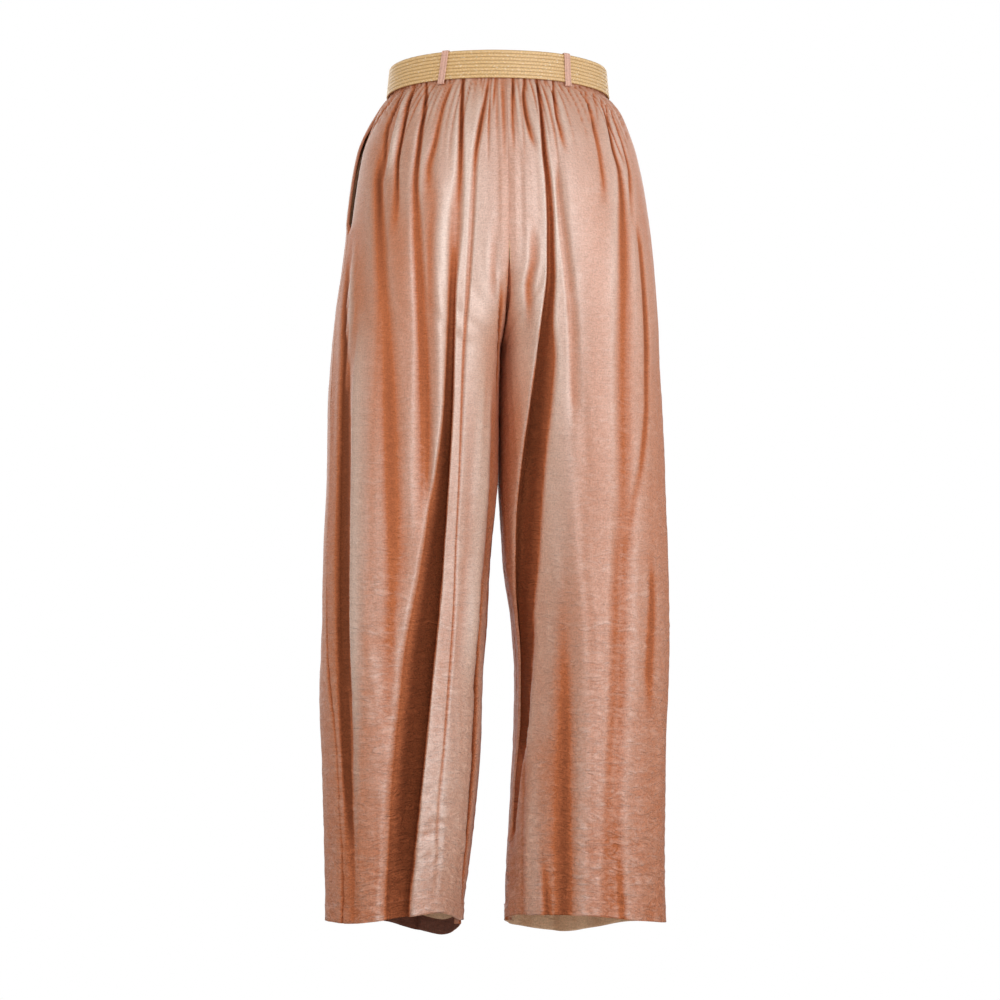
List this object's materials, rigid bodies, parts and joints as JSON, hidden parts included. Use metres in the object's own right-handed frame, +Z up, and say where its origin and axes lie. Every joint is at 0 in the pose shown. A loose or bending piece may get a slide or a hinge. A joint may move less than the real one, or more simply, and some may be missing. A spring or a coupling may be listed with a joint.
{
  "type": "trousers",
  "caption": "Wide-leg pull-on trousers, gathered into an elasticated waist under a woven straw-look belt, open and hollow as when worn.",
  "frame": {"origin": "middle of the waistband's ring, where the wearer's waist holds the trousers up", "axes": "+Z up, -Y towards the front of the garment, +X towards the wearer's left"},
  "size_m": [0.4188, 0.2759, 1.0523],
  "materials": {
    "cloth": "satin-backed crepe, soft sheen, fine crinkle",
    "pocket_cloth": "the same crepe, in shadow inside the pocket",
    "loop_cloth": "folded crepe strip, matt",
    "braid": "woven straw-look cords with a few bright threads",
    "clasp": "brushed"
  },
  "bodies": {
    "root": {"back_left": "cloth", "back_right": "cloth", "front_left": "cloth", "front_right": "cloth", "pocket_left": "pocket_cloth", "pocket_right": "pocket_cloth", "waistband_back": "cloth", "waistband_front": "cloth", "belt": "braid", "clasp_eye": "clasp", "clasp_hook": "clasp", "loop_back_left": "loop_cloth", "loop_back_right": "loop_cloth", "loop_front_left": "loop_cloth", "loop_front_right": "loop_cloth"}
  },
  "joints": []
}
